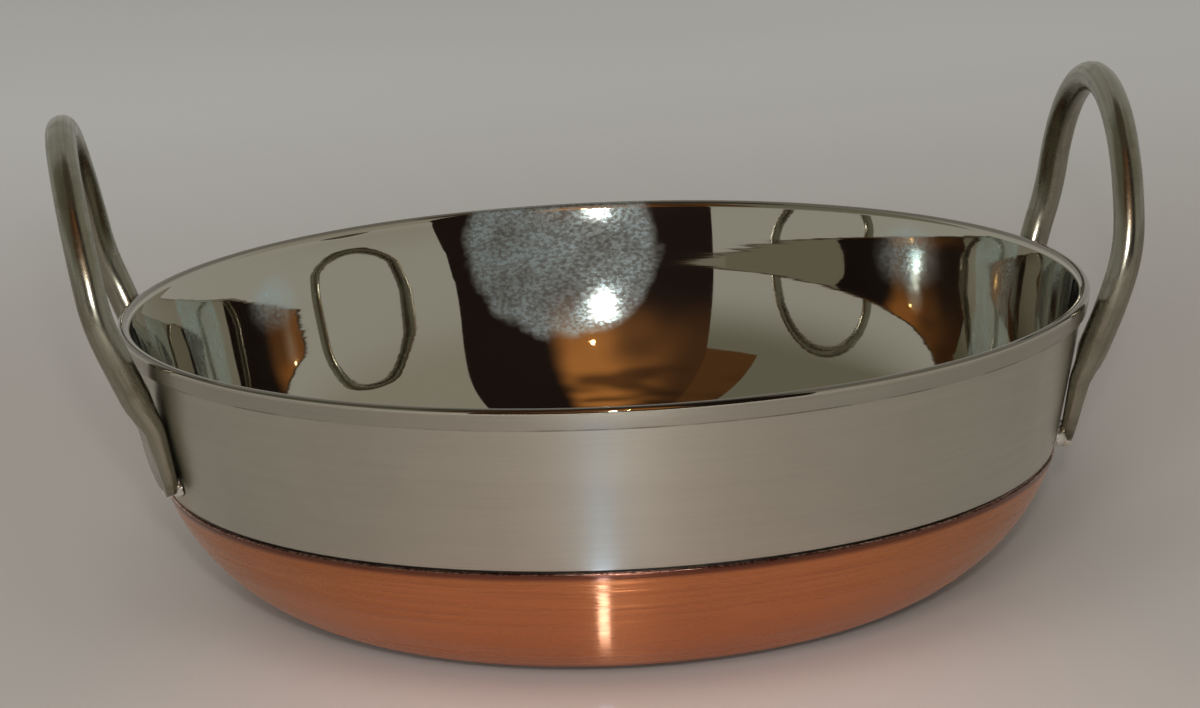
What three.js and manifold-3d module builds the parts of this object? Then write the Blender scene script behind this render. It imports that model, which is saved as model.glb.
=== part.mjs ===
// A small two-handled frying pan of the karahi kind: a pressed steel bowl with a folded hem, a
// copper cup fixed over its base, and two loops of steel wire welded to its sides.
// Millimetres, +Z up. The origin is the centre of the flat base, where it meets the table, and
// the handles stand along X. Angles of a wall or a wire are leans from the vertical.

import * as THREE from 'three';
import { mergeVertices } from 'three/addons/utils/BufferGeometryUtils.js';
import Module from 'manifold-3d';

const wasm = await Module();
wasm.setup();
const degree = Math.PI / 180;

// Driving dimensions of the bowl
const rimRadius = 60; // outside of the hem
const panHeight = 37.2; // table to the top of the rim
const wallLean = 10.6 * degree;
const sheet = 0.9; // steel sheet, and the depth from the wall's skin to the mirror inside
const hemHeight = 2.4; // rim top to the raw edge of the folded sheet
const creaseGap = 0.2; // left between the hem and the wall behind it

// Driving dimensions of the copper cup
const baseCornerRadius = 25.1; // outside of the round from the flat base up to the wall
const copperThickness = 0.5;
const copperFit = 0.2; // cup to the steel inside it
const copperProud = 0.3; // how far the cup stands out past the steel above it
const seamHeight = 17.5; // table to the lower edge of the steel skin
const seamGroove = 0.35; // between that edge and the cup's
const cupEdgeBreak = 0.12; // corner taken off the cup's upper edge

// Driving dimensions of a handle
const wireDiameter = 3.8;
const loopRadius = 21; // centreline of the arch
const loopRise = 22.9; // length of the bent loop above the rim, added to the height of the steel
const tipHalfSpacing = 15; // half the distance between the two leg tips
const tipThickness = 1.5; // the leg's ends are pressed flat, thinnest and widest at the tip
const tipWidth = 4.8;
const kinkThickness = 2.5; // where the leg leaves the wall
const kinkBendRadius = 4;
const roundOffLength = 5.5; // from the kink up to the full round wire
const leanPastHem = 5.5; // how far the leg runs on, past the hem's edge, before it bends back up
const topBendRadius = 29;
const tipRound = 0.4;
const seatGap = 0.3; // leg to wall, and leg to hem

// Driving dimensions of a weld bead
const beadWidth = 6.4; // across the leg
const beadLength = 3.2; // along it
const beadHeight = 1.5; // out from the wall
const beadRise = 0.6; // its middle, above the leg's tip
const beadFit = 0.2; // to the steel that it joins

// The two loops are bent and set by hand. They differ a little in how high their leg tips stand
// above the seam, in how far below the hem's edge they kink, and in how far their tops lean out.
const rightTipLift = 1.2;
const leftTipLift = 2.4;
const rightKinkDrop = 8;
const leftKinkDrop = 6.7;
const rightTopLean = 4.8 * degree;
const leftTopLean = 9.7 * degree;

// Facets
const rounds = 72;
const baseSteps = 12;
const shoulderSteps = 2;
const creaseSteps = 3;
const foldSteps = 3;
const wireSides = 14;
const legRings = 15;
const archRings = 23;
const beadSides = 14;
const beadRings = 10;

const steel = new THREE.MeshStandardMaterial({ color: 0x9b978b, roughness: 0.32, metalness: 1 });
const wireSteel = new THREE.MeshStandardMaterial({ color: 0x8f8d80, roughness: 0.2, metalness: 1 });
const weldSteel = new THREE.MeshStandardMaterial({ color: 0xa9a496, roughness: 0.4, metalness: 1 });
const copper = new THREE.MeshStandardMaterial({ color: 0xb06c48, roughness: 0.35, metalness: 1 });

// Outlines are drawn in the plane of radius and height. This gives the point at a distance from a
// centre, at an angle below the horizontal.
function below(centre, radius, angle) {
  return new THREE.Vector2(
    centre.x + radius * Math.cos(angle),
    centre.y - radius * Math.sin(angle),
  );
}

// The points of an arc about a centre, both ends and every stop between them included. Each
// stretch from stop to stop has the same number of steps.
function arc(centre, radius, stops, steps) {
  return Array.from({ length: (stops.length - 1) * steps + 1 }, (_, i) => {
    const stretch = Math.min(Math.floor(i / steps), stops.length - 2);
    const share = i / steps - stretch;
    return below(centre, radius, THREE.MathUtils.lerp(stops[stretch], stops[stretch + 1], share));
  });
}

// A point moved down along the slope of the wall.
function downWall(point, distance) {
  return new THREE.Vector2(
    point.x - distance * Math.sin(wallLean),
    point.y - distance * Math.cos(wallLean),
  );
}

// A body of revolution about the vertical, from an outline that runs up its outside first.
function turned(outline) {
  return new THREE.LatheGeometry(outline, rounds).rotateX(Math.PI / 2);
}

// The hem is the sheet folded out and down about this centre, and the wall hangs from it, tangent
// to the round of the base.
const foldRadius = sheet + creaseGap / 2;
const foldCentre = new THREE.Vector2(rimRadius - foldRadius, panHeight - foldRadius);
const skinRadius = baseCornerRadius - copperProud;
const wallDrop = (foldCentre.y - baseCornerRadius) * Math.sin(wallLean);
const baseCentre = new THREE.Vector2(
  foldCentre.x - (skinRadius + creaseGap / 2 + wallDrop) / Math.cos(wallLean),
  baseCornerRadius,
);
const seamAngle = Math.asin((baseCornerRadius - seamHeight) / skinRadius);
const cupInside = baseCornerRadius - copperThickness;
const hemDrop = hemHeight - foldRadius;
const hemCorner = downWall(below(foldCentre, foldRadius, wallLean), hemDrop);

// Radius of the steel's skin at a height on the straight wall.
function wallRadius(height) {
  const rise = (height - foldCentre.y) * Math.sin(wallLean);
  return foldCentre.x + (rise - creaseGap / 2) / Math.cos(wallLean);
}

// The bowl: up the outside under the cup, out at the seam, up the skin, into the crease behind the
// hem and round its folded sheet, then down the mirror side to the middle of the floor.
function bowlShell() {
  const underCup = cupInside - copperFit;
  const mirrorRadius = skinRadius - sheet;
  return turned([
    new THREE.Vector2(0, baseCentre.y - underCup),
    ...arc(baseCentre, underCup, [Math.PI / 2, seamAngle], baseSteps),
    ...arc(baseCentre, skinRadius, [seamAngle, wallLean], shoulderSteps),
    ...arc(foldCentre, creaseGap / 2, [wallLean - Math.PI, wallLean], creaseSteps),
    downWall(below(foldCentre, creaseGap / 2, wallLean), hemDrop),
    hemCorner,
    ...arc(foldCentre, foldRadius, [wallLean, 0, -Math.PI / 2, wallLean - Math.PI], foldSteps),
    ...arc(baseCentre, mirrorRadius, [wallLean, Math.PI / 2], baseSteps),
    new THREE.Vector2(0, baseCentre.y - mirrorRadius),
  ]);
}

// The copper cup: the flat base, the round up to its edge just under the seam, and back inside.
function copperBase() {
  const edgeAngle = seamAngle + seamGroove / skinRadius;
  const breakAngle = edgeAngle + cupEdgeBreak / baseCornerRadius;
  return turned([
    new THREE.Vector2(0, 0),
    ...arc(baseCentre, baseCornerRadius, [Math.PI / 2, breakAngle], baseSteps),
    below(baseCentre, baseCornerRadius - cupEdgeBreak, edgeAngle),
    ...arc(baseCentre, cupInside, [edgeAngle, Math.PI / 2], baseSteps),
    new THREE.Vector2(0, baseCentre.y - cupInside),
  ]);
}

// A closed body skinned over rings of points, each ring counterclockwise seen from the next one.
function skinned(rings) {
  const sides = rings[0].length;
  const last = rings.length - 1;
  const middle = (ring) =>
    ring.reduce((sum, point) => sum.add(point), new THREE.Vector3()).divideScalar(sides);
  const points = [...rings.flat(), middle(rings[0]), middle(rings[last])];
  const index = [];
  for (let k = 0; k < sides; k += 1) {
    const next = (k + 1) % sides;
    for (let i = 0; i < last; i += 1) {
      const [a, b] = [i * sides + k, i * sides + next];
      index.push(a, b, b + sides, a, b + sides, a + sides);
    }
    index.push(rings.length * sides, next, k);
    index.push(rings.length * sides + 1, last * sides + k, last * sides + next);
  }
  const body = new THREE.BufferGeometry().setFromPoints(points);
  body.setIndex(index);
  return body;
}

// Seen square to its plane, the loop is an arch whose ends run on, straight and tangent, to the
// leg tips. The legs splay by this angle.
const loopLength = panHeight - seamHeight + loopRise;
const archCentre = loopLength - loopRadius;
const splay = Math.asin(loopRadius / Math.hypot(tipHalfSpacing, archCentre))
  - Math.atan2(tipHalfSpacing, archCentre);
const legLength = archCentre - loopRadius * Math.sin(splay);

// A place in the loop's plane: t up from the leg tips, y across. The share runs from 0 at one tip
// to 1 at the other.
function loopPlan(share) {
  const legShare = legRings / (2 * legRings + archRings - 1);
  const fromEnd = Math.min(share, 1 - share);
  const sign = share < 1 - share ? -1 : 1;
  if (fromEnd < legShare) {
    const t = (legLength * fromEnd) / legShare;
    return { t, y: sign * (tipHalfSpacing + t * Math.tan(splay)) };
  }
  const across = (share - legShare) / (1 - 2 * legShare);
  const turn = -splay + (Math.PI + 2 * splay) * across;
  return {
    t: archCentre + loopRadius * Math.sin(turn),
    y: -loopRadius * Math.cos(turn),
  };
}

// The middle of a leg that lies on the wall at a height.
function seat(height, half, thickness) {
  const radius = wallRadius(height) + (thickness / 2 + seatGap) / Math.cos(wallLean);
  return new THREE.Vector2(Math.sqrt(radius ** 2 - half ** 2), height);
}

// A line of straights and bends in the plane of x and height.
class Strip {
  constructor(start, lean) {
    this.path = new THREE.Path().moveTo(start.x, start.y);
    this.lean = lean;
    this.length = 0;
  }

  straight(length) {
    const from = this.path.currentPoint;
    this.path.lineTo(from.x + length * Math.sin(this.lean), from.y + length * Math.cos(this.lean));
    this.length += length;
    return this;
  }

  bend(radius, lean) {
    const sense = Math.sign(lean - this.lean);
    const from = this.path.currentPoint;
    const centreX = from.x + sense * radius * Math.cos(this.lean);
    const centreY = from.y - sense * radius * Math.sin(this.lean);
    const angle = (value) => (sense > 0 ? Math.PI - value : -value);
    this.path.absarc(centreX, centreY, radius, angle(this.lean), angle(lean), sense > 0);
    this.length += radius * Math.abs(lean - this.lean);
    this.lean = lean;
    return this;
  }

  at(t) {
    const share = THREE.MathUtils.clamp(t / this.length, 0, 1);
    const point = this.path.getPoint(share);
    const along = this.path.getTangent(share);
    return { x: point.x, z: point.y, lean: Math.atan2(along.x, along.y) };
  }
}

// How far up from its tip a leg lies on the wall.
function contactLength({ tipLift, kinkDrop }) {
  return (hemCorner.y - kinkDrop - seamHeight - tipLift) / Math.cos(wallLean);
}

// Seen from the side, the loop starts flat on the wall, leans out at the kink just enough to
// clear the hem, and bends back up above the rim.
function sideStrip(bends) {
  const tipSeat = seat(seamHeight + bends.tipLift, tipHalfSpacing, tipThickness);
  const kinkHalfSpacing = tipHalfSpacing + contactLength(bends) * Math.tan(splay);
  const kinkSeat = seat(hemCorner.y - bends.kinkDrop, kinkHalfSpacing, kinkThickness);
  const hemHalfSpacing = kinkHalfSpacing + bends.kinkDrop * Math.tan(splay);
  const hem = new THREE.Vector2(Math.sqrt(hemCorner.x ** 2 - hemHalfSpacing ** 2), hemCorner.y);
  const reach = hem.clone().sub(kinkSeat);
  const clear = ((wireDiameter / 2 + seatGap) * hemCorner.x) / hem.x;
  const lean = Math.atan2(reach.x, reach.y) + Math.asin(clear / reach.length());
  const contact = kinkSeat.clone().sub(tipSeat);
  const contactLean = Math.atan2(contact.x, contact.y);
  const kinkReach = kinkBendRadius * Math.tan((lean - contactLean) / 2);
  const strip = new Strip(tipSeat, contactLean)
    .straight(contact.length() - kinkReach)
    .bend(kinkBendRadius, lean)
    .straight(reach.length() + leanPastHem - kinkReach)
    .bend(topBendRadius, bends.topLean);
  return strip.straight(loopLength - strip.length);
}

// The wire's section at a length up the leg: a round above, pressed flat towards the tip. extra
// grows it on every side.
function section(t, flatLength, extra) {
  const pressedLength = flatLength + roundOffLength;
  const contact = THREE.MathUtils.clamp(t / flatLength, 0, 1);
  const taper = THREE.MathUtils.clamp(t / pressedLength, 0, 1);
  const round = THREE.MathUtils.smoothstep(t, flatLength, pressedLength);
  const pressed = THREE.MathUtils.lerp(tipThickness, kinkThickness, contact);
  return {
    thick: THREE.MathUtils.lerp(pressed, wireDiameter, round) / 2 + extra,
    wide: THREE.MathUtils.lerp(tipWidth, wireDiameter, taper) / 2 + extra,
    squareness: THREE.MathUtils.lerp(0.55, 1, round),
    round,
  };
}

// A handle's wire, with its rings square to the centreline. The flat faces of the ends follow the
// wall that they lie on.
function wireLoop(bends, extra = 0) {
  const strip = sideStrip(bends);
  const flatLength = contactLength(bends);
  const place = (share) => {
    const { t, y } = loopPlan(share);
    const { x, z } = strip.at(t);
    return new THREE.Vector3(x, y, z);
  };
  const count = 2 * legRings + archRings - 1;
  const step = 1 / count / 4;
  const ring = (share, shrink, shift) => {
    const plan = loopPlan(share);
    const { lean } = strip.at(plan.t);
    const centre = place(share);
    const along = place(Math.min(share + step, 1)).sub(place(Math.max(share - step, 0))).normalize();
    const form = section(plan.t, flatLength, extra);
    const swing = Math.atan2(centre.y, centre.x) * (1 - form.round);
    const out = new THREE.Vector3(
      Math.cos(lean) * Math.cos(swing),
      Math.cos(lean) * Math.sin(swing),
      -Math.sin(lean),
    );
    out.addScaledVector(along, -out.dot(along)).normalize();
    const across = along.clone().cross(out);
    centre.addScaledVector(along, shift);
    return Array.from({ length: wireSides }, (_, k) => {
      const angle = (2 * Math.PI * (k + 1 / 2)) / wireSides;
      const bulge = (value) => Math.sign(value) * Math.abs(value) ** form.squareness;
      return centre.clone()
        .addScaledVector(out, form.thick * shrink * bulge(Math.cos(angle)))
        .addScaledVector(across, form.wide * shrink * bulge(Math.sin(angle)));
    });
  };
  const tipShare = 0.72;
  const rings = Array.from({ length: count + 1 }, (_, i) => ring(i / count, 1, 0));
  return skinned([
    ring(0, tipShare, -tipRound - extra),
    ...rings,
    ring(1, tipShare, tipRound + extra),
  ]);
}

// Booleans work on closed solids with shared corners.
function solid(geometry) {
  const bare = geometry.clone();
  bare.deleteAttribute('normal');
  bare.deleteAttribute('uv');
  const merged = mergeVertices(bare);
  const index = merged.getIndex().array;
  const triangles = [];
  for (let i = 0; i < index.length; i += 3) {
    const [a, b, c] = index.slice(i, i + 3);
    if (a !== b && b !== c && c !== a) triangles.push(a, b, c);
  }
  return new wasm.Manifold(new wasm.Mesh({
    numProp: 3,
    vertProperties: new Float32Array(merged.getAttribute('position').array),
    triVerts: new Uint32Array(triangles),
  }));
}

function geometryOf(body) {
  const mesh = body.getMesh();
  const geometry = new THREE.BufferGeometry();
  geometry.setAttribute('position', new THREE.BufferAttribute(mesh.vertProperties, 3));
  geometry.setIndex(new THREE.BufferAttribute(mesh.triVerts, 1));
  return geometry;
}

// A weld bead: a low dome on the wall round the leg's tip, cut by the wall and by the leg that it
// holds. leg is -1 or 1, for the leg at that side of the loop.
function weldBead(bends, leg) {
  const wall = turned([
    new THREE.Vector2(0, below(baseCentre, skinRadius, seamAngle).y),
    ...arc(baseCentre, skinRadius + beadFit, [seamAngle, wallLean], shoulderSteps),
    new THREE.Vector2(foldCentre.x + beadFit / Math.cos(wallLean), foldCentre.y),
    new THREE.Vector2(0, foldCentre.y),
  ]);
  const height = seamHeight + bends.tipLift + beadRise;
  const radius = wallRadius(height);
  const spacing = tipHalfSpacing + beadRise * Math.tan(splay);
  const swing = leg * Math.asin(spacing / radius);
  const out = new THREE.Vector3(
    Math.cos(wallLean) * Math.cos(swing),
    Math.cos(wallLean) * Math.sin(swing),
    -Math.sin(wallLean),
  );
  const across = new THREE.Vector3(-Math.sin(swing), Math.cos(swing), 0);
  const up = out.clone().cross(across);
  const dome = new THREE.SphereGeometry(1, beadSides, beadRings)
    .rotateX(Math.PI / 2)
    .scale(beadHeight, beadWidth / 2, beadLength / 2)
    .applyMatrix4(new THREE.Matrix4().makeBasis(out, across, up))
    .translate(radius * Math.cos(swing), radius * Math.sin(swing), height);
  return geometryOf(solid(dome).subtract(solid(wall)).subtract(solid(wireLoop(bends, beadFit))));
}

function piece(name, geometry, material) {
  const mesh = new THREE.Mesh(geometry, material);
  mesh.name = name;
  return mesh;
}

const handles = [
  {
    side: 'right',
    turn: 0,
    bends: { tipLift: rightTipLift, kinkDrop: rightKinkDrop, topLean: rightTopLean },
    legs: { front: -1, back: 1 },
  },
  {
    side: 'left',
    turn: Math.PI,
    bends: { tipLift: leftTipLift, kinkDrop: leftKinkDrop, topLean: leftTopLean },
    legs: { front: 1, back: -1 },
  },
];

const pan = new THREE.Group();
pan.add(piece('bowl_shell', bowlShell(), steel));
pan.add(piece('copper_base', copperBase(), copper));
for (const { side, turn, bends, legs } of handles) {
  const handle = new THREE.Group();
  handle.rotation.z = turn;
  handle.add(piece(`handle_${side}`, wireLoop(bends), wireSteel));
  for (const [end, leg] of Object.entries(legs)) {
    handle.add(piece(`weld_${side}_${end}`, weldBead(bends, leg), weldSteel));
  }
  pan.add(handle);
}

export default pan;
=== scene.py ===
import math

import bmesh
import bpy
from mathutils import Matrix, Vector


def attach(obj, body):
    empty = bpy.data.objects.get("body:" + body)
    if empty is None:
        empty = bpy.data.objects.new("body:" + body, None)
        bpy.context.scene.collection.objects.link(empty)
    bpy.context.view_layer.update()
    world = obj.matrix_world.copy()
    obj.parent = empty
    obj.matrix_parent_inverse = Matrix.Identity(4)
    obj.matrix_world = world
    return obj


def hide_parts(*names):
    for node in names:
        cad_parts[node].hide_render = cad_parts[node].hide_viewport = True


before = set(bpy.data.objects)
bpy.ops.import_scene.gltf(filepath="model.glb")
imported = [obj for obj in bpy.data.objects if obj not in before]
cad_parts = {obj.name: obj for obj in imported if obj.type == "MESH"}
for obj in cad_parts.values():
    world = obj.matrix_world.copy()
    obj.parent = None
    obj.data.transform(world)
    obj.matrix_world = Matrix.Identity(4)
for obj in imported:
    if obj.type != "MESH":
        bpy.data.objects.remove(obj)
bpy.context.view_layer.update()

# The camera stands low in front of the pan and a little to its left, close above the table. It
# is held almost level with the rim, so the near wall, the far inside and both loops show.
mm = 0.001
degree = math.radians(1)
pan_height = 37.2 * mm

camera_distance = 464.4 * mm
camera_rise = 12.17 * degree
camera_swing = -6.0 * degree
camera_tilt = 13.12 * degree
camera_turn = 0.09 * degree
camera_roll = -2.43 * degree
lens_in_mm = 112.41
sensor_in_mm = 36

camera_data = bpy.data.cameras.new("camera")
camera_data.lens = lens_in_mm
camera_data.sensor_width = sensor_in_mm
camera_data.clip_start = 10 * mm
camera = bpy.data.objects.new("camera", camera_data)
toward_camera = Matrix.Rotation(camera_swing, 3, "Z") @ Vector(
    (0, -math.cos(camera_rise), math.sin(camera_rise))
)
camera.matrix_world = (
    Matrix.Translation(Vector((0, 0, pan_height)) + camera_distance * toward_camera)
    @ Matrix.Rotation(camera_swing + camera_turn, 4, "Z")
    @ Matrix.Rotation(90 * degree - camera_tilt, 4, "X")
    @ Matrix.Rotation(camera_roll, 4, "Z")
)
bpy.context.scene.collection.objects.link(camera)
bpy.context.scene.camera = camera


# The bowl is one pressed sheet of stainless steel. Its edge is folded outward and down into a
# flat hem, its outside is brushed round and round with a fine belt, and its inside is buffed to
# a mirror.
rim_radius = 60 * mm
wall_lean = 10.6 * degree
outside_lean = 12.1 * degree
sheet = 0.9 * mm
hem_height = 2.4 * mm
hem_leaf = 0.35 * mm
hem_inset = 0.2 * mm
hem_edge_break = 0.1 * mm
crease_gap = 0.2 * mm
crease_width = 0.1 * mm
fold_shift = 0.35 * mm
crest_shift = 0.3 * mm
crest_fall = 0.07 * mm
rim_outer_corner = 0.6 * mm
rim_inner_corner = 0.7 * mm
base_corner = 25.1 * mm
under_cup = 24.4 * mm
copper_proud = 0.3 * mm
seam_height = 17.5 * mm
seam_edge_break = 0.08 * mm
bowl_rounds = 288

flare_lean = 12.2 * degree
flare_radius = 62.8 * mm
throat_lean = 8.2 * degree
throat_height = 3.4 * mm
belly_lean = 21.5 * degree
belly_radius = 54.7 * mm
buffing_drift = 0.35 * mm
drift_depth = 14 * mm
steeper_drift = 1.7

steel_tone = (0.52, 0.505, 0.44, 1)
brush_line_tone = (0.37, 0.355, 0.305, 1)
brush_band_tone = (0.41, 0.395, 0.345, 1)
stain_tone = (0.43, 0.41, 0.34, 1)
hem_shade_tone = (0.30, 0.29, 0.25, 1)
hem_shadow_tone = (0.05, 0.045, 0.04, 1)
straw_tone = (0.45, 0.34, 0.18, 1)
mirror_tone = (0.54, 0.52, 0.445, 1)
grease_and_reflection_tone = (0.36, 0.50, 0.53, 1)
crest_shade_tone = (0.12, 0.10, 0.08, 1)

fold_radius = sheet + crease_gap / 2
fold_centre = Vector((rim_radius - fold_radius, pan_height - fold_radius))
skin_radius = base_corner - copper_proud
wall_drop = (fold_centre.y - base_corner) * math.sin(wall_lean)
base_out = fold_centre.x - (skin_radius + crease_gap / 2 + wall_drop) / math.cos(wall_lean)
base_centre = Vector((base_out, base_corner))
seam_angle = math.asin((base_corner - seam_height) / skin_radius)


def below(centre, radius, angle):
    return centre + radius * Vector((math.cos(angle), -math.sin(angle)))


def down_wall(point, distance):
    return point - distance * Vector((math.sin(wall_lean), math.cos(wall_lean)))


def smooth(value, low, high):
    share = min(max((value - low) / (high - low), 0), 1)
    return share * share * (3 - 2 * share)


def line_to(bm, pen, point, steps=1):
    start = Vector((pen.co.x, pen.co.z))
    for step in range(1, steps + 1):
        pen = bmesh.ops.extrude_vert_indiv(bm, verts=[pen])["verts"][0]
        place = start.lerp(point, step / steps)
        pen.co = (place.x, 0, place.y)
    return pen


def arc_round(bm, pen, centre, angle, steps):
    drawn = bmesh.ops.spin(
        bm,
        geom=[pen],
        cent=(centre.x, 0, centre.y),
        axis=(0, 1, 0),
        angle=angle,
        steps=steps,
    )
    return next(g for g in drawn["geom_last"] if isinstance(g, bmesh.types.BMVert))


def spin_outline(bm, rounds):
    bmesh.ops.spin(
        bm,
        geom=bm.verts[:] + bm.edges[:],
        cent=(0, 0, 0),
        axis=(0, 0, 1),
        angle=360 * degree,
        steps=rounds,
        use_merge=True,
    )
    bmesh.ops.remove_doubles(bm, verts=bm.verts, dist=0.001 * mm)
    bmesh.ops.recalc_face_normals(bm, faces=bm.faces)


def soften_ring(bm, corner, offset):
    def on_corner(v):
        near = Vector((math.hypot(v.co.x, v.co.y), v.co.z)) - corner
        return max(abs(near.x), abs(near.y)) < 0.01 * mm

    bmesh.ops.bevel(
        bm,
        geom=[e for e in bm.edges if all(on_corner(v) for v in e.verts)],
        offset=offset,
        segments=5,
        profile=0.5,
        affect="EDGES",
        material=-1,
    )


def linked(name, bm, *materials):
    mesh = bpy.data.meshes.new(name)
    bm.to_mesh(mesh)
    bm.free()
    for material in materials:
        mesh.materials.append(material)
    made = bpy.data.objects.new(name, mesh)
    bpy.context.scene.collection.objects.link(made)
    return made


def finished(name, bm, node, slot, *materials):
    piece = linked(name, bm, *materials)
    piece.data.shade_smooth()
    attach(piece, "root")
    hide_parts(node)


bowl = bmesh.new()
polish = bowl.verts.layers.float.new("polish")
pen = bowl.verts.new((0, 0, base_centre.y - under_cup))
pen = line_to(bowl, pen, below(base_centre, under_cup, 90 * degree))
pen = arc_round(bowl, pen, base_centre, seam_angle - 90 * degree, steps=32)
seam_corner = below(base_centre, skin_radius, seam_angle)
pen = line_to(bowl, pen, seam_corner)
pen = arc_round(bowl, pen, base_centre, outside_lean - seam_angle, steps=8)
crease_top = fold_centre + Vector((fold_shift, 0))
pen = line_to(bowl, pen, crease_top, steps=12)
hem_corner = down_wall(below(fold_centre, fold_radius, wall_lean), hem_height - fold_radius)
hem_foot = hem_corner - Vector((hem_inset, 0))
hem_back = hem_foot - Vector((hem_leaf, 0))
pen = line_to(bowl, pen, crease_top + crease_width * Vector((0.4, 0.8)))
pen = line_to(bowl, pen, crease_top + Vector((crease_width, 0)))
pen = line_to(bowl, pen, hem_back)
pen = line_to(bowl, pen, hem_foot)
outside = set(bowl.verts)
# The fold is pressed almost flat on top, with a tight corner on each side of it.
rim_outside = Vector((rim_radius, pan_height - crest_fall))
rim_middle = Vector((fold_centre.x + crest_shift, pan_height))
wall_top = below(fold_centre, fold_radius, wall_lean - 180 * degree) + Vector((fold_shift, 0))
rim_inside = down_wall(wall_top, (wall_top.y - rim_outside.y) / math.cos(wall_lean))
for corner in (rim_outside, rim_middle, rim_inside, wall_top):
    pen = line_to(bowl, pen, corner)
# The polished wall flares at the rim, draws in a little below it, then swells to the belly.
flare_centre = below(wall_top, flare_radius, flare_lean)
pen = arc_round(bowl, pen, flare_centre, throat_lean - flare_lean, steps=8)
throat = Vector((pen.co.x, pen.co.z)) - throat_height * Vector((math.tan(throat_lean), 1))
pen = line_to(bowl, pen, throat)
belly_centre = below(throat, belly_radius, throat_lean + 180 * degree)
pen = arc_round(bowl, pen, belly_centre, belly_lean - throat_lean, steps=20)
well_depth = pen.co.z - (base_corner - skin_radius + sheet)
well_radius = well_depth / (1 - math.sin(belly_lean))
well_centre = below(Vector((pen.co.x, pen.co.z)), well_radius, belly_lean + 180 * degree)
pen = arc_round(bowl, pen, well_centre, 90 * degree - belly_lean, steps=44)
pen = line_to(bowl, pen, Vector((0, well_centre.y - well_radius)), steps=8)
for point in bowl.verts:
    point[polish] = 0.0 if point in outside else 1.0
spin_outline(bowl, bowl_rounds)
# The buffing wheel took a little more from one side, so the wall drifts as it goes down, and
# it left the far left of the wall a little steeper.
aside = Matrix.Rotation(camera_swing, 3, "Z") @ Vector((1, 0, 0))
behind = Matrix.Rotation(camera_swing, 3, "Z") @ Vector((0, 1, 0))
for v in bowl.verts:
    if v[polish] > 0.5 and v.co.z < wall_top.y:
        part = min((wall_top.y - v.co.z) / drift_depth, 1)
        drift = buffing_drift * math.sin(90 * degree * part)
        leftward = -math.atan2(v.co.dot(aside), v.co.dot(behind))
        steeper = smooth(leftward, 5 * degree, 30 * degree)
        steeper *= 1 - smooth(leftward, 90 * degree, 160 * degree)
        inward = -Vector((v.co.x, v.co.y, 0)).normalized()
        v.co += drift * (aside + steeper_drift * steeper * inward)
soften_ring(bowl, hem_foot, hem_edge_break)
soften_ring(bowl, rim_outside, rim_outer_corner)
soften_ring(bowl, rim_inside, rim_inner_corner)
soften_ring(bowl, seam_corner, seam_edge_break)
for face in bowl.faces:
    face.material_index = sum(v[polish] for v in face.verts) > 0.5 * len(face.verts)


def put(tree, socket, value):
    if isinstance(value, bpy.types.NodeSocket):
        tree.links.new(value, socket)
    else:
        socket.default_value = value


def node_in(tree, kind, **inputs):
    node = tree.nodes.new(kind)
    for name, value in inputs.items():
        put(tree, node.inputs[name.replace("_", " ")], value)
    return node


def maths(tree, operation, a, b=0.0):
    node = tree.nodes.new("ShaderNodeMath")
    node.operation = operation
    put(tree, node.inputs[0], a)
    put(tree, node.inputs[1], b)
    return node.outputs[0]


def plus(tree, a, b):
    return maths(tree, "ADD", a, b)


def times(tree, a, b):
    return maths(tree, "MULTIPLY", a, b)


def vector_maths(tree, operation, a, b=(0, 0, 0)):
    node = tree.nodes.new("ShaderNodeVectorMath")
    node.operation = operation
    put(tree, node.inputs[0], a)
    put(tree, node.inputs[1], b)
    return node.outputs["Value" if operation == "LENGTH" else "Vector"]


def ranged(tree, value, low, high, to_low=0.0, to_high=1.0):
    node = node_in(tree, "ShaderNodeMapRange", Value=value, From_Min=low, From_Max=high)
    node.interpolation_type = "SMOOTHSTEP"
    put(tree, node.inputs["To Min"], to_low)
    put(tree, node.inputs["To Max"], to_high)
    return node.outputs["Result"]


def mixed(tree, share, a, b):
    node = tree.nodes.new("ShaderNodeMix")
    node.data_type = "RGBA"
    for number, value in ((0, share), (6, a), (7, b)):
        put(tree, node.inputs[number], value)
    return node.outputs[2]


def tinted(tree, tone, toward, pattern, low, high, most=1.0):
    return mixed(tree, ranged(tree, pattern, low, high, to_high=most), tone, toward)


def noise(tree, vector, scale, detail=2.0, rough=0.5):
    node = node_in(tree, "ShaderNodeTexNoise", Vector=vector, Scale=scale, Detail=detail)
    put(tree, node.inputs["Roughness"], rough)
    return node.outputs["Fac"]


def in_object(tree):
    return tree.nodes.new("ShaderNodeTexCoord").outputs["Object"]


def parts_of(tree, vector):
    return node_in(tree, "ShaderNodeSeparateXYZ", Vector=vector).outputs


def spread_from(tree, centre, half):
    # How far a place lies from a centre, counted in the half sizes of a round patch.
    location = [-c / h for c, h in zip(centre, half)]
    scale = [1 / h for h in half]
    place = node_in(
        tree, "ShaderNodeMapping", Vector=in_object(tree), Location=location, Scale=scale
    )
    return vector_maths(tree, "LENGTH", place.outputs[0])


def new_group(name, outcome, **inputs):
    group = bpy.data.node_groups.new(name, "ShaderNodeTree")
    sockets = group.interface
    for socket, start in inputs.items():
        made = sockets.new_socket(name=socket, in_out="INPUT", socket_type="NodeSocketFloat")
        made.default_value = start
    sockets.new_socket(name=outcome, in_out="OUTPUT", socket_type="NodeSocketFloat")
    given = group.nodes.new("NodeGroupInput").outputs
    result = group.nodes.new("NodeGroupOutput").inputs[outcome]
    return group, given, result


def placed(tree, group, **inputs):
    node = tree.nodes.new("ShaderNodeGroup")
    node.node_tree = group
    for name, value in inputs.items():
        put(tree, node.inputs[name], value)
    return node.outputs[0]


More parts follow.
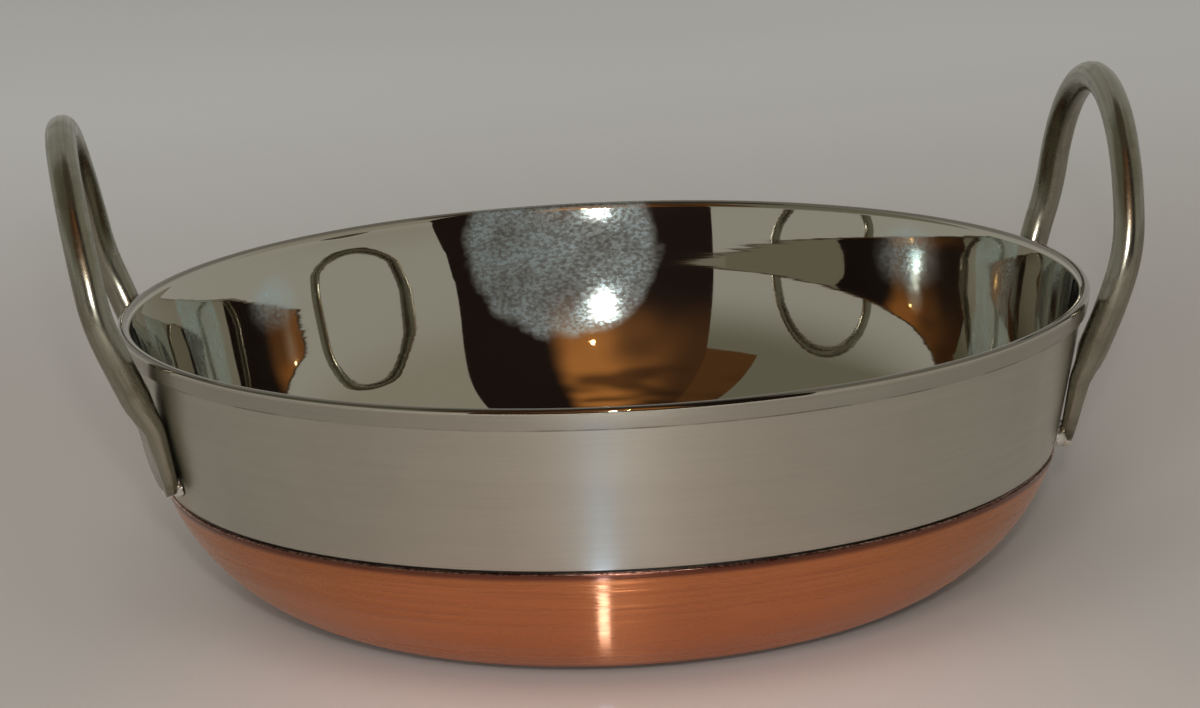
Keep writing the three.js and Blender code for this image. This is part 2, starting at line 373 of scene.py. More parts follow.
# Rings: marks that run round the pan's axis, from brushing or buffing on a turning spindle. They
# are counted by height less radius, which changes along the wall and along the floor alike.
rings, given, result = new_group("turned rings", "Lines", Pitch=0.3, Stroke=8.0, Detail=3.0)
parts = parts_of(rings, in_object(rings))
flat = node_in(rings, "ShaderNodeCombineXYZ", X=parts["X"], Y=parts["Y"]).outputs[0]
radius = vector_maths(rings, "LENGTH", flat)
axis_clearance = 0.5 * mm
lines_per_pitch = 0.7
off_axis = maths(rings, "MAXIMUM", radius, axis_clearance)
round_scale = maths(rings, "DIVIDE", rim_radius / mm, given["Stroke"])
line_scale = maths(rings, "DIVIDE", lines_per_pitch / mm, given["Pitch"])
line_place = node_in(
    rings,
    "ShaderNodeCombineXYZ",
    X=times(rings, maths(rings, "DIVIDE", parts["X"], off_axis), round_scale),
    Y=times(rings, maths(rings, "DIVIDE", parts["Y"], off_axis), round_scale),
    Z=times(rings, maths(rings, "SUBTRACT", parts["Z"], radius), line_scale),
).outputs[0]
rings.links.new(noise(rings, line_place, 1.0, given["Detail"]), result)

# Welding heat: how near a place is to one of the four welds, from 0 far off to 1 at the weld.
tip_half_spacing = 15 * mm
heat_radius = 54.05 * mm
heat_lift = 1.8 * mm
heat_out = math.sqrt(heat_radius**2 - tip_half_spacing**2)
heat_centre = (heat_out, tip_half_spacing, seam_height + heat_lift)
heat, given, result = new_group("welding heat", "Heat", Reach=6.0)
one_quarter = vector_maths(heat, "ABSOLUTE", in_object(heat))
off_weld = vector_maths(heat, "LENGTH", vector_maths(heat, "SUBTRACT", one_quarter, heat_centre))
reaches_off = maths(heat, "DIVIDE", off_weld, times(heat, given["Reach"], mm))
heat.links.new(ranged(heat, reaches_off, 1.0, 0.0), result)


def new_material(name, **settings):
    material = bpy.data.materials.new(name)
    material.use_nodes = True
    shader = material.node_tree.nodes["Principled BSDF"]
    for socket, value in settings.items():
        shader.inputs[socket.replace("_", " ")].default_value = value
    return material, material.node_tree, shader


def bumped(tree, height, distance, strength, over=None):
    node = node_in(tree, "ShaderNodeBump", Height=height, Distance=distance, Strength=strength)
    if over is not None:
        tree.links.new(over, node.inputs["Normal"])
    return node.outputs["Normal"]


def surfaced(tree, shader, tone, gloss, relief):
    tree.links.new(tone, shader.inputs["Base Color"])
    tree.links.new(gloss, shader.inputs["Roughness"])
    tree.links.new(relief, shader.inputs["Normal"])


def round_the_axis(tree, shader):
    tangent = tree.nodes.new("ShaderNodeTangent")
    tangent.direction_type = "RADIAL"
    tangent.axis = "Z"
    tree.links.new(tangent.outputs[0], shader.inputs["Tangent"])


# Brushed outside
satin, tree, shader = new_material(
    "satin steel", Metallic=1.0, Anisotropic=0.62, Anisotropic_Rotation=0.25
)
round_the_axis(tree, shader)
fine = placed(tree, rings, Pitch=0.14, Stroke=14.0, Detail=2.0)
coarse = placed(tree, rings, Pitch=0.9, Stroke=45.0, Detail=3.0)
stains = noise(tree, in_object(tree), 70.0, detail=4.0, rough=0.6)
tone = tinted(tree, steel_tone, brush_line_tone, fine, 0.3, 0.7, most=0.10)
tone = tinted(tree, tone, brush_band_tone, coarse, 0.35, 0.7, most=0.16)
tone = tinted(tree, tone, stain_tone, stains, 0.45, 0.75, most=0.2)
height = parts_of(tree, in_object(tree))["Z"]
# The hem band is painted darker: a painted shade for the duller light its steeper face takes.
on_hem = (hem_corner.y - 0.14 * mm, hem_corner.y + 0.26 * mm)
tone = tinted(tree, tone, hem_shade_tone, height, *on_hem, most=0.35)
# A painted shadow line, broken here and there, runs along the hem's lower edge.
shadow_line = hem_corner.y + 0.08 * mm
off_line = maths(tree, "ABSOLUTE", maths(tree, "SUBTRACT", height, shadow_line))
speckle = noise(tree, in_object(tree), 110.0, detail=3.0, rough=0.6)
here_and_there = ranged(tree, speckle, 0.42, 0.62, to_low=0.05, to_high=0.5)
hem_shadow = times(tree, ranged(tree, off_line, 0.16 * mm, 0.04 * mm), here_and_there)
tone = mixed(tree, hem_shadow, tone, hem_shadow_tone)
warmth = placed(tree, heat, Reach=5.0)
tone = mixed(tree, times(tree, warmth, 0.6), tone, straw_tone)
brushed_gloss = ranged(tree, fine, 0.3, 0.7, to_low=0.34, to_high=0.38)
gloss = plus(tree, brushed_gloss, ranged(tree, stains, 0.4, 0.7, to_high=0.05))
relief = bumped(tree, coarse, 0.008 * mm, 0.5, bumped(tree, fine, 0.0015 * mm, 0.6))
surfaced(tree, shader, tone, gloss, relief)

# Buffed inside
mirror, tree, shader = new_material(
    "mirror steel",
    Metallic=1.0,
    Anisotropic=0.15,
    Anisotropic_Rotation=0.25,
    Coat_Roughness=0.55,
    Coat_IOR=2.1,
)
round_the_axis(tree, shader)
# A greasy smear was wiped over the far wall: a round patch, finely broken up. A smaller and
# softer patch on each side paints the smear's reflection there as a bluish haze.
unsteady = noise(tree, in_object(tree), 180.0, detail=3.0)
waver = ranged(tree, unsteady, 0.3, 0.7, to_low=-0.05, to_high=0.05)
smear_centre = (0.6 * mm, 55 * mm, 32.5 * mm)
smear_half = (13.2 * mm, 30 * mm, 13.3 * mm)
left_reflected_smear = (-40 * mm, 40 * mm, 29.7 * mm), (3.6 * mm, 6 * mm, 3.4 * mm)
right_reflected_smear = (45.2 * mm, 35.6 * mm, 31.6 * mm), (4.6 * mm, 6 * mm, 4.2 * mm)
off_smear = plus(tree, spread_from(tree, smear_centre, smear_half), waver)
grease_and_reflection = ranged(tree, off_smear, 1.06, 0.93)
for centre, half in (left_reflected_smear, right_reflected_smear):
    off_reflected_smear = plus(tree, spread_from(tree, centre, half), waver)
    grease_and_reflection = maths(tree, "MAXIMUM", grease_and_reflection, ranged(tree, off_reflected_smear, 1.3, 0.3))
wipe_slant = 35 * degree
wipe_place = node_in(tree, "ShaderNodeMapping", Vector=in_object(tree), Scale=(1500, 1500, 2400))
wipe_place.inputs["Rotation"].default_value = (0, wipe_slant, 0)
wiped = noise(tree, wipe_place.outputs[0], 1.0, detail=2.0, rough=0.6)
patchy = noise(tree, in_object(tree), 140.0, detail=3.0, rough=0.6)
wipes = ranged(tree, wiped, 0.35, 0.65, to_low=0.45)
patches = ranged(tree, patchy, 0.3, 0.65, to_low=0.55)
haze = times(tree, grease_and_reflection, times(tree, wipes, patches))
tone = mixed(tree, haze, mirror_tone, grease_and_reflection_tone)
# The very crest of the fold is painted dark: a painted reflection of dark surroundings.
height = parts_of(tree, in_object(tree))["Z"]
near_crest = (pan_height - 0.45 * mm, pan_height - 0.15 * mm)
tone = tinted(tree, tone, crest_shade_tone, height, *near_crest, most=0.75)
veil = plus(tree, times(tree, haze, 0.8), 0.03)
tree.links.new(veil, shader.inputs["Coat Weight"])
bare_share = maths(tree, "SUBTRACT", 1.0, times(tree, haze, 0.17))
tree.links.new(bare_share, shader.inputs["Metallic"])
buffing = placed(tree, rings, Pitch=0.6, Stroke=60.0, Detail=2.0)
waves = noise(tree, in_object(tree), 60.0, detail=1.0)
buffed_gloss = ranged(tree, buffing, 0.3, 0.7, to_low=0.02, to_high=0.035)
gloss = plus(tree, buffed_gloss, times(tree, haze, 0.075))
relief = bumped(tree, waves, 0.02 * mm, 1.0, bumped(tree, buffing, 0.003 * mm, 1.0))
surfaced(tree, shader, tone, gloss, relief)

finished("bowl", bowl, "bowl_shell", "bowl_steel", satin, mirror)


# The base is one pressed cup of copper, fixed over the lower part of the bowl. It stands a
# little proud of the steel, and its cut edge shows as a thin ledge under the seam, painted with
# broken glints and shade.
copper_thickness = 0.5 * mm
cup_inside = base_corner - copper_thickness
seam_groove = 0.35 * mm
edge_break = 0.12 * mm
lip_break = 0.05 * mm
edge_angle = seam_angle + seam_groove / skin_radius

copper_tone = (0.64, 0.25, 0.105, 1)
cup_line_tone = (0.46, 0.15, 0.065, 1)
cup_band_tone = (0.50, 0.17, 0.075, 1)
bloom_tone = (0.46, 0.18, 0.09, 1)
seam_shade_tone = (0.13, 0.05, 0.04, 1)
underside_shade_tone = (0.08, 0.025, 0.015, 1)
edge_shade_tone = (0.22, 0.10, 0.08, 1)
edge_glint_tone = (0.75, 0.50, 0.42, 1)

cup = bmesh.new()
pen = cup.verts.new((0, 0, 0))
pen = line_to(cup, pen, Vector((base_centre.x, 0)), steps=8)
pen = arc_round(cup, pen, base_centre, edge_angle - 90 * degree, steps=56)
cup_corner = below(base_centre, base_corner, edge_angle)
cup_lip = below(base_centre, cup_inside, edge_angle)
pen = line_to(cup, pen, cup_lip)
pen = arc_round(cup, pen, base_centre, 90 * degree - edge_angle, steps=24)
pen = line_to(cup, pen, Vector((0, base_corner - cup_inside)))
spin_outline(cup, bowl_rounds)
soften_ring(cup, cup_corner, edge_break)
soften_ring(cup, cup_lip, lip_break)

brushed_copper, tree, shader = new_material(
    "brushed copper", Metallic=1.0, Anisotropic=0.97, Anisotropic_Rotation=0.25
)
round_the_axis(tree, shader)
fine = placed(tree, rings, Pitch=0.22, Stroke=30.0, Detail=2.0)
coarse = placed(tree, rings, Pitch=0.8, Stroke=90.0, Detail=3.0)
bloom = noise(tree, in_object(tree), 45.0, detail=4.0, rough=0.6)
glint_dots = noise(tree, in_object(tree), 2200.0, detail=2.0, rough=0.6)
height = parts_of(tree, in_object(tree))["Z"]
under_seam = (seam_height - 1.5 * mm, seam_height - 0.75 * mm)
at_cut_edge = (cup_corner.y - 0.03 * mm, cup_corner.y + 0.03 * mm)
near_table = (3.0 * mm, 1.3 * mm)
tone = tinted(tree, copper_tone, cup_line_tone, fine, 0.3, 0.7, most=0.2)
tone = tinted(tree, tone, cup_band_tone, coarse, 0.35, 0.7, most=0.2)
tone = tinted(tree, tone, bloom_tone, bloom, 0.45, 0.75, most=0.2)
# Just under the seam the copper is painted dark: a painted shade below the cut edge.
tone = tinted(tree, tone, seam_shade_tone, height, *under_seam, most=0.85)
# Near the table the copper is painted dark: a painted contact shade.
tone = tinted(tree, tone, underside_shade_tone, height, *near_table, most=0.9)
# The cut edge carries a painted highlight: dotted glints between painted shade.
edge_glint_and_shade_tone = tinted(tree, edge_shade_tone, edge_glint_tone, glint_dots, 0.4, 0.6)
tone = tinted(tree, tone, edge_glint_and_shade_tone, height, *at_cut_edge)
brushed_gloss = ranged(tree, fine, 0.3, 0.7, to_low=0.23, to_high=0.29)
gloss = plus(tree, brushed_gloss, ranged(tree, bloom, 0.4, 0.7, to_high=0.02))
relief = bumped(tree, coarse, 0.02 * mm, 0.8, bumped(tree, fine, 0.3 * mm, 1.0))
surfaced(tree, shader, tone, gloss, relief)

finished("copper_cup", cup, "copper_base", "copper", brushed_copper)


# Each handle is one length of bright drawn steel wire. Its ends are pressed to flat tapers, the
# loop is bent round a former, and the legs are set to lie on the wall and lean out past the hem.
wire_diameter = 3.8 * mm
loop_radius = 21 * mm
loop_rise = 22.9 * mm
tip_thickness = 1.5 * mm
right_tip_width = 5.2 * mm
left_tip_width = 7.6 * mm
right_tip_lift = 1.2 * mm
left_tip_lift = 2.4 * mm
tip_rounding = 2.2 * mm
tip_narrowing = 0.75
kink_thickness = 2.5 * mm
kink_bend_radius = 4 * mm
right_kink_drop = 8 * mm
left_kink_drop = 6.7 * mm
round_off_length = 5.5 * mm
lean_past_hem = 5.5 * mm
top_bend_radius = 29 * mm
right_top_lean = 4.8 * degree
left_top_lean = 9.7 * degree
seat_gap = 0.3 * mm
drawn_share = 0.985
wire_sides = 32
leg_rings = 56
arch_rings = 104
# Past each end the wire closes in a few slices: how far past, and the share of full size.
tip_cuts = ((0.40 * mm, 0.55), (0.36 * mm, 0.72), (0.26 * mm, 0.86), (0.12 * mm, 0.96))

wire_tone = (0.33, 0.325, 0.26, 1)
draw_line_tone = (0.16, 0.14, 0.10, 1)
dull_tone = (0.19, 0.185, 0.135, 1)
heated_tone = (0.21, 0.19, 0.13, 1)
scorch_tone = (0.05, 0.04, 0.025, 1)

loop_length = pan_height - seam_height + loop_rise
arch_centre = loop_length - loop_radius
splay = math.asin(loop_radius / math.hypot(tip_half_spacing, arch_centre)) - math.atan2(
    tip_half_spacing, arch_centre
)
leg_length = arch_centre - loop_radius * math.sin(splay)


def wall_radius(height):
    rise = (height - fold_centre.y) * math.sin(wall_lean)
    return fold_centre.x + (rise - crease_gap / 2) / math.cos(wall_lean)


def seat(height, half, thickness):
    radius = wall_radius(height) + (thickness / 2 + seat_gap) / math.cos(wall_lean)
    return Vector((math.sqrt(radius**2 - half**2), height))


def contact_length(tip_lift, kink_drop):
    return (hem_corner.y - kink_drop - seam_height - tip_lift) / math.cos(wall_lean)


def side_route(tip_lift, kink_drop, top_lean):
    # Seen from the side, the wire is a row of straight and bent stretches: length and turn.
    start = seat(seam_height + tip_lift, tip_half_spacing, tip_thickness)
    kink_half = tip_half_spacing + contact_length(tip_lift, kink_drop) * math.tan(splay)
    kink = seat(hem_corner.y - kink_drop, kink_half, kink_thickness)
    hem_half = kink_half + kink_drop * math.tan(splay)
    hem = Vector((math.sqrt(hem_corner.x**2 - hem_half**2), hem_corner.y))
    over_hem = hem - kink
    clear = (wire_diameter / 2 + seat_gap) * hem_corner.x / hem.x
    lean = math.atan2(over_hem.x, over_hem.y) + math.asin(clear / over_hem.length)
    contact = kink - start
    first_lean = math.atan2(contact.x, contact.y)
    kink_turn = lean - first_lean
    kink_cut = kink_bend_radius * math.tan(kink_turn / 2)
    stretches = [
        (contact.length - kink_cut, 0),
        (kink_bend_radius * kink_turn, kink_turn),
        (over_hem.length + lean_past_hem - kink_cut, 0),
        (top_bend_radius * (lean - top_lean), top_lean - lean),
    ]
    stretches.append((loop_length - sum(length for length, turn in stretches), 0))
    return start, first_lean, stretches


def along_route(route, t):
    start, lean, stretches = route
    x, z = start
    for length, turn in stretches:
        part = min(t, length)
        t -= part
        if turn:
            radius = length / turn
            after = lean + part / radius
            x += radius * (math.cos(lean) - math.cos(after))
            z += radius * (math.sin(after) - math.sin(lean))
            lean = after
        else:
            x += part * math.sin(lean)
            z += part * math.cos(lean)
    return x, z, lean


def loop_place(share):
    # Seen from outside, the loop is two splayed legs and an arch: the height and the side.
    leg_share = leg_rings / (2 * leg_rings + arch_rings)
    from_end = min(share, 1 - share)
    if from_end < leg_share:
        side = -1 if share < 0.5 else 1
        t = leg_length * from_end / leg_share
        return t, side * (tip_half_spacing + t * math.tan(splay))
    turn = (180 * degree + 2 * splay) * (share - leg_share) / (1 - 2 * leg_share) - splay
    return arch_centre + loop_radius * math.sin(turn), -loop_radius * math.cos(turn)


def wire_centre(route, share):
    t, y = loop_place(share)
    x, z, lean = along_route(route, t)
    return Vector((x, y, z)), t, lean


def wire_seat(route, flat_length, share):
    # The frame that a round slice of the wire is carried to: out, across and along.
    centre, t, lean = wire_centre(route, share)
    little = 0.0005
    before = wire_centre(route, max(share - little, 0))[0]
    after = wire_centre(route, min(share + little, 1))[0]
    along = (after - before).normalized()
    pressed = 1 - smooth(t, flat_length, flat_length + round_off_length)
    swing = math.atan2(centre.y, centre.x) * pressed
    out = Matrix.Rotation(swing, 3, "Z") @ Vector((math.cos(lean), 0, -math.sin(lean)))
    out = (out - out.dot(along) * along).normalized()
    seated = Matrix((out, along.cross(out), along)).transposed().to_4x4()
    seated.translation = centre
    return seated, t, pressed


def press(ring, t, flat_length, tip_width, pressed, shrink):
    contact = min(t / flat_length, 1)
    taper = min(t / (flat_length + round_off_length), 1)
    flat = tip_thickness + (kink_thickness - tip_thickness) * contact
    half = (wire_diameter + (flat - wire_diameter) * pressed) / 2
    wide = (tip_width + (wire_diameter - tip_width) * taper) / wire_diameter
    wide *= math.sqrt(1 - tip_narrowing * (1 - min(t / tip_rounding, 1)) ** 2)
    for v in ring:
        v.co.x = min(max(v.co.x, -half), half) * shrink
        v.co.y *= wide * shrink


def wire_handle(name, node, turn, tip_lift, tip_width, kink_drop, top_lean):
    route = side_route(tip_lift, kink_drop, top_lean)
    flat_length = contact_length(tip_lift, kink_drop)
    count = 2 * leg_rings + arch_rings
    slices = [(0, -past, shrink) for past, shrink in tip_cuts]
    slices += [(i / count, 0, 1) for i in range(count + 1)]
    slices += [(1, past, shrink) for past, shrink in reversed(tip_cuts)]
    bm = bmesh.new()
    wire = bm.verts.layers.float_vector.new("wire")
    drawn_radius = drawn_share * wire_diameter / 2
    ring = bmesh.ops.create_circle(bm, segments=wire_sides, radius=drawn_radius)["verts"]
    for v in ring:
        v[wire] = (v.co.x / wire_diameter, v.co.y / wire_diameter, 0)
    wire_rings = [ring]
    edges = bm.edges[:]
    while len(wire_rings) < len(slices):
        grown = bmesh.ops.extrude_edge_only(bm, edges=edges)["geom"]
        ring = [g for g in grown if isinstance(g, bmesh.types.BMVert)]
        wire_rings.append(ring)
        drawn = [g for g in grown if isinstance(g, bmesh.types.BMEdge)]
        edges = [e for e in drawn if all(v in ring for v in e.verts)]
    for ring, (share, shift, shrink) in zip(wire_rings, slices):
        seated, t, pressed = wire_seat(route, flat_length, share)
        for v in ring:
            v[wire] = (v[wire][0], v[wire][1], (t + abs(shift)) / mm)
        press(ring, t, flat_length, tip_width, pressed, shrink)
        bmesh.ops.transform(bm, matrix=seated @ Matrix.Translation((0, 0, shift)), verts=ring)
    bmesh.ops.holes_fill(bm, edges=bm.edges)
    bmesh.ops.rotate(bm, verts=bm.verts, matrix=Matrix.Rotation(turn, 3, "Z"))
    bmesh.ops.recalc_face_normals(bm, faces=bm.faces)
    finished(name, bm, node, "wire_steel", drawn_wire)


drawn_wire, tree, shader = new_material("drawn steel wire", Metallic=1.0)
wire_place = tree.nodes.new("ShaderNodeAttribute")
wire_place.attribute_name = "wire"
stretched = node_in(
    tree, "ShaderNodeMapping", Vector=wire_place.outputs["Vector"], Scale=(9, 9, 0.12)
)
draw_lines = noise(tree, stretched.outputs[0], 1.0, detail=3.0, rough=0.6)
dull = noise(tree, in_object(tree), 260.0, detail=4.0, rough=0.65)
warmth = placed(tree, heat, Reach=7.5)
tone = tinted(tree, wire_tone, draw_line_tone, draw_lines, 0.4, 0.65, most=0.35)
tone = tinted(tree, tone, dull_tone, dull, 0.45, 0.7, most=0.5)
tone = mixed(tree, times(tree, warmth, 0.8), tone, heated_tone)
flecks = noise(tree, in_object(tree), 750.0, detail=3.0, rough=0.6)
scale_marks = ranged(tree, flecks, 0.45, 0.62)
tone = mixed(tree, times(tree, warmth, scale_marks), tone, scorch_tone)
drawn_gloss = ranged(tree, draw_lines, 0.35, 0.7, to_low=0.20, to_high=0.28)
gloss = plus(tree, drawn_gloss, ranged(tree, dull, 0.45, 0.75, to_high=0.12))
relief = bumped(tree, dull, 0.03 * mm, 0.5, bumped(tree, draw_lines, 0.02 * mm, 0.6))
surfaced(tree, shader, tone, gloss, relief)

wire_handle(
    "wire_loop_right",
    "handle_right",
    turn=0,
    tip_lift=right_tip_lift,
    tip_width=right_tip_width,
    kink_drop=right_kink_drop,
    top_lean=right_top_lean,
)
wire_handle(
    "wire_loop_left",
    "handle_left",
    turn=180 * degree,
    tip_lift=left_tip_lift,
    tip_width=left_tip_width,
    kink_drop=left_kink_drop,
    top_lean=left_top_lean,
)


# Four weld beads hold the legs, one run round each pressed tip. The steel froze in fine ripples
# with a small round nugget at the leg's end, and the heat tinted the metal round it.
bead_width = 6.4 * mm
bead_length = 3.2 * mm
bead_height = 1.5 * mm
bead_rise = 0.6 * mm
bead_sunk = 0.05 * mm
ripple_depth = 0.035
ripple_count = 9
ripple_twist = 5
nugget_radius = 0.9 * mm
nugget_out = 1.1 * mm
nugget_aside = 0.5 * mm
nugget_drop = 0.6 * mm
bead_tone = (0.82, 0.81, 0.76, 1)

weld_steel, tree, shader = new_material("weld steel", Metallic=1.0)
froth = noise(tree, in_object(tree), 900.0, detail=3.0, rough=0.6)
tint = noise(tree, in_object(tree), 300.0, detail=2.0)
tone = tinted(tree, bead_tone, straw_tone, tint, 0.45, 0.7, most=0.45)
gloss = ranged(tree, froth, 0.3, 0.7, to_low=0.25, to_high=0.45)
surfaced(tree, shader, tone, gloss, bumped(tree, froth, 0.06 * mm, 0.7))


def weld_bead(name, node, turn, tip_lift, leg):
    height = seam_height + tip_lift + bead_rise
    radius = wall_radius(height)
    spacing = tip_half_spacing + bead_rise * math.tan(splay)
    seated = (
        Matrix.Rotation(turn + leg * math.asin(spacing / radius), 4, "Z")
        @ Matrix.Translation((radius, 0, height))
        @ Matrix.Rotation(wall_lean, 4, "Y")
    )
    bm = bmesh.new()
    bmesh.ops.create_uvsphere(bm, u_segments=48, v_segments=32, radius=1)
    for v in bm.verts:
        wave = ripple_count * math.atan2(v.co.z, v.co.y) + ripple_twist * v.co.x
        swell = (1 + ripple_depth * math.sin(wave)) / (1 + ripple_depth)
        v.co.y *= swell
        v.co.z *= swell
    half_sizes = (bead_height, bead_width / 2, bead_length / 2)
    bmesh.ops.scale(bm, vec=half_sizes, verts=bm.verts)
    for v in bm.verts:
        v.co.x = max(v.co.x, bead_sunk)
    # The nugget where the arc was broken off, at the leg's end.
    at_tip = Matrix.Translation((nugget_out, nugget_aside * leg, -nugget_drop))
    bmesh.ops.create_icosphere(bm, subdivisions=3, radius=nugget_radius, matrix=at_tip)
    bmesh.ops.transform(bm, matrix=seated, verts=bm.verts)
    bmesh.ops.recalc_face_normals(bm, faces=bm.faces)
    finished(name, bm, node, "weld_steel", weld_steel)


weld_bead("weld_bead_right_front", "weld_right_front", 0, right_tip_lift, -1)
weld_bead("weld_bead_right_back", "weld_right_back", 0, right_tip_lift, 1)
weld_bead("weld_bead_left_front", "weld_left_front", 180 * degree, left_tip_lift, 1)
weld_bead("weld_bead_left_back", "weld_left_back", 180 * degree, left_tip_lift, -1)


# The table is a plain pale sheet that grows lighter behind the pan and has a faint warm painted
# glow in front of it, standing in for light thrown off the copper. A pale soft surround lights
# it from all sides.
table_size = 4000 * mm
glow_centre = (-5.775 * mm, -54.75 * mm, 0)
glow_half = (75 * mm, 75 * mm, 1000 * mm)
near_tone = (0.295, 0.277, 0.262, 1)
far_tone = (0.52, 0.525, 0.53, 1)
copper_glow_tone = (0.40, 0.335, 0.318, 1)
grain_tone = (0.36, 0.33, 0.31, 1)
surround_tone = (0.42, 0.41, 0.375, 1)

table_paint, tree, shader = new_material("table", Roughness=0.6, Specular_IOR_Level=0.05)
depth = parts_of(tree, in_object(tree))["Y"]
grain = noise(tree, in_object(tree), 3.0, detail=3.0)
tone = tinted(tree, near_tone, far_tone, depth, 60 * mm, 460 * mm)
off_glow = spread_from(tree, glow_centre, glow_half)
tone = tinted(tree, tone, copper_glow_tone, off_glow, 1.0, 0.25)
tone = tinted(tree, tone, grain_tone, grain, 0.3, 0.7, most=0.12)
tree.links.new(tone, shader.inputs["Base Color"])
bm = bmesh.new()
bmesh.ops.create_grid(bm, x_segments=1, y_segments=1, size=table_size / 2)
table = linked("table", bm, table_paint)

world = bpy.data.worlds.new("surround")
world.use_nodes = True
world.node_tree.nodes["Background"].inputs["Color"].default_value = surround_tone
world.node_tree.nodes["Background"].inputs["Strength"].default_value = 1.0
bpy.context.scene.world = world


# Dark and grey sheets stand in an arc on the camera's side of the pan, and one hangs above it.
# Only reflections show them, so they draw the dark fields inside the bowl and light nothing.
screen_distance = 700 * mm
sheet_foot = 150 * mm
sheet_top = 2600 * mm
lit_from = 380 * mm
gap_top = 400 * mm
front_left = 30 * degree
front_right = 43 * degree
front_flare = 40 * degree
gap_left = 46 * degree
far_round = 115 * degree
cover_radius = 360 * mm
cover_height = 900 * mm

black_brown = (0.014, 0.008, 0.006, 1)
dim_brown = (0.05, 0.024, 0.01, 1)
amber = (0.52, 0.20, 0.05, 1)
grey_green = (0.185, 0.175, 0.13, 1)
grey_sand = (0.34, 0.32, 0.265, 1)
cover_dark = (0.07, 0.065, 0.055, 1)
cover_warm = (0.09, 0.07, 0.05, 1)


def in_patches(tree, lit):
    # The amber light falls in patches, left of the middle.
    across = parts_of(tree, in_object(tree))["X"]
    patchy = noise(tree, in_object(tree), 3.0, detail=1.0)
    right_end = ranged(tree, across, 190 * mm, 60 * mm)
    left_end = ranged(tree, across, -380 * mm, -60 * mm, to_low=0.12)
    patches = ranged(tree, patchy, 0.3, 0.65, to_low=0.25)
    for share in (right_end, left_end, patches):
        lit = times(tree, lit, share)
    return lit


def reflected_only(name, bm, low_tone, high_tone):
    material = bpy.data.materials.new(name)
    material.use_nodes = True
    tree = material.node_tree
    tree.nodes.remove(tree.nodes["Principled BSDF"])
    lit = ranged(tree, parts_of(tree, in_object(tree))["Z"], sheet_foot, lit_from)
    if high_tone == amber:
        lit = in_patches(tree, lit)
    glow = node_in(tree, "ShaderNodeEmission", Color=mixed(tree, lit, low_tone, high_tone))
    tree.links.new(glow.outputs[0], tree.nodes["Material Output"].inputs["Surface"])
    screen = linked(name, bm, material)
    screen.visible_camera = False
    screen.visible_diffuse = False
    screen.visible_shadow = False


def standing_sheet(name, left, right, low, high, low_tone, high_tone, flare=0):
    # It stands on an arc from one bearing to another. Its right end can flare toward the top.
    bm = bmesh.new()
    bearing = camera_swing - 90 * degree
    start = Vector((screen_distance, 0, low))
    bm.verts.new(Matrix.Rotation(bearing - left, 3, "Z") @ start)
    bmesh.ops.spin(
        bm, geom=bm.verts[:], cent=(0, 0, low), axis=(0, 0, 1), angle=left + right, steps=24
    )
    risen = bmesh.ops.extrude_edge_only(bm, edges=bm.edges[:])["geom"]
    risen = [g for g in risen if isinstance(g, bmesh.types.BMVert)]
    bmesh.ops.translate(bm, vec=(0, 0, high - low), verts=risen)
    for v in risen:
        share = (math.atan2(v.co.y, v.co.x) - bearing + left) / (left + right)
        v.co = Matrix.Rotation(flare * share, 3, "Z") @ v.co
    reflected_only(name, bm, low_tone, high_tone)


standing_sheet(
    "screen_front", front_left, front_right, 0, sheet_top, black_brown, amber, front_flare
)
standing_sheet(
    "screen_upper_left", gap_left, -front_left, gap_top, sheet_top, dim_brown, amber
)
standing_sheet(
    "screen_left", far_round, -gap_left, sheet_foot, sheet_top, surround_tone, grey_green
)
standing_sheet(
    "screen_left_gap", gap_left, -front_left, sheet_foot, gap_top, surround_tone, grey_green
)
standing_sheet(
    "screen_right", -front_right, far_round, sheet_foot, sheet_top, surround_tone, grey_sand
)
bm = bmesh.new()
cover_place = Matrix.Translation((0, 0, cover_height))
bmesh.ops.create_circle(bm, cap_ends=True, segments=48, radius=cover_radius, matrix=cover_place)
reflected_only("screen_above", bm, cover_dark, cover_warm)


# Two thin strips of light lie on the table toward the camera. The bright one draws the streak
# down the brushed copper, and the long faint one draws it up the satin wall.
strip_swing = camera_swing - 1.9 * degree
strip_height = 0.6 * mm
bright_light = (4.2, 5.4, 7.2, 1)
faint_light = (0.5, 0.8, 1.2, 1)


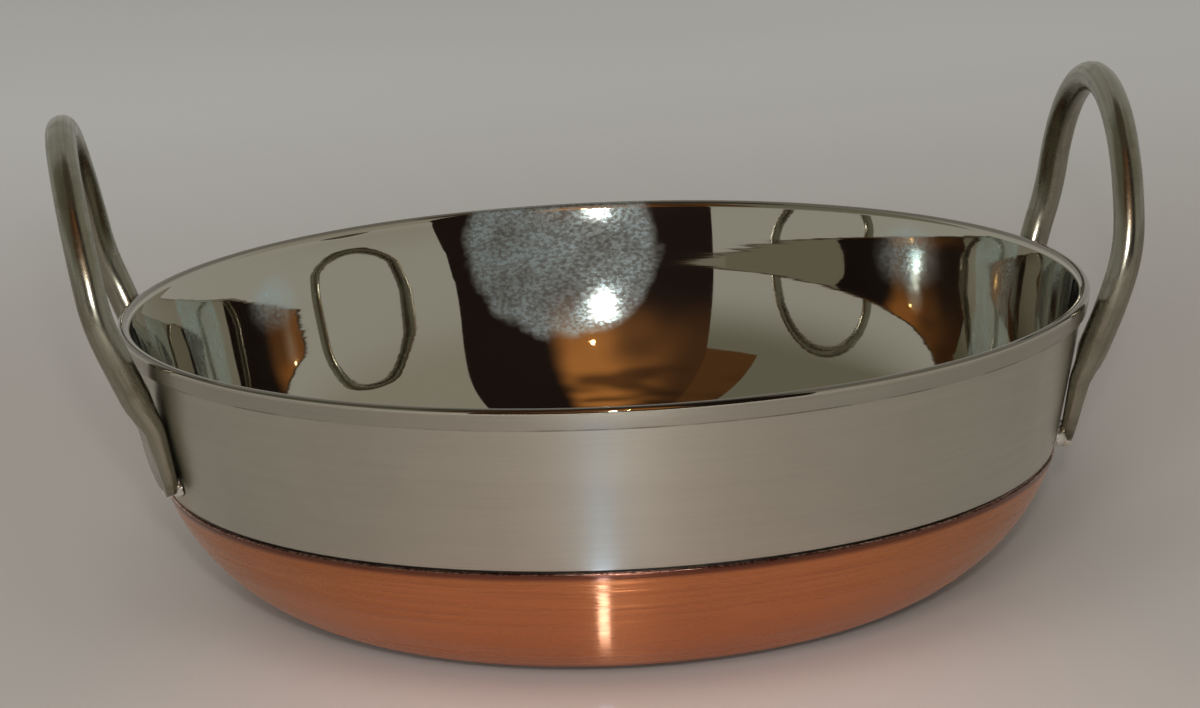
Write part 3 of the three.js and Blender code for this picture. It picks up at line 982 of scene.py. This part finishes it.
def light_strip(name, middle, half_width, half_length, light):
    bm = bmesh.new()
    lying = (
        Matrix.Rotation(strip_swing, 4, "Z")
        @ Matrix.Translation((0, -middle, strip_height))
        @ Matrix.Diagonal((half_width, half_length, 1, 1))
    )
    bmesh.ops.create_grid(bm, x_segments=1, y_segments=1, size=1, matrix=lying)
    reflected_only(name, bm, light, light)


light_strip(
    "light_strip", middle=59 * mm, half_width=0.7 * mm, half_length=10 * mm, light=bright_light
)
light_strip(
    "faint_strip", middle=98 * mm, half_width=1.4 * mm, half_length=28 * mm, light=faint_light
)


# A small bright lamp stands just above the camera, and a dim warm one farther off and higher.
# Both glint in the metal. Two large soft lamps light the table, and no reflection shows them.
white = (1, 0.98, 0.95)
cream = (1, 0.95, 0.90)
candle = (1, 0.62, 0.28)
pan_foot = (0, 0, 0)
pan_middle = (0, 0, 20 * mm)
flash_place = camera.matrix_world.translation + Vector((8 * mm, 0, 32 * mm))
above_place = (-300 * mm, -800 * mm, 1400 * mm)
low_place = (-200 * mm, -1050 * mm, 360 * mm)
warm_bearing = Matrix.Rotation(camera_swing + 4.5 * degree, 3, "Z")
warm_place = warm_bearing @ Vector((0, -600 * mm, 335 * mm))


def soft_lamp(name, place, target, size, power, tone):
    data = bpy.data.lights.new(name, "AREA")
    data.shape = "DISK"
    data.size = size
    data.energy = power
    data.color = tone
    lamp = bpy.data.objects.new(name, data)
    lamp.location = place
    lamp.rotation_euler = (Vector(target) - Vector(place)).to_track_quat("-Z", "Y").to_euler()
    bpy.context.scene.collection.objects.link(lamp)
    return lamp


soft_lamp("lamp_by_camera", flash_place, pan_middle, size=14 * mm, power=0.85, tone=white)
lamp_above = soft_lamp("lamp_above", above_place, pan_foot, size=1200 * mm, power=8, tone=white)
lamp_low = soft_lamp("lamp_low", low_place, pan_foot, size=500 * mm, power=16, tone=cream)
for lamp in (lamp_above, lamp_low):
    lamp.visible_glossy = False
soft_lamp("lamp_warm", warm_place, pan_foot, size=9 * mm, power=0.05, tone=candle)

bpy.context.scene.view_settings.view_transform = "Standard"
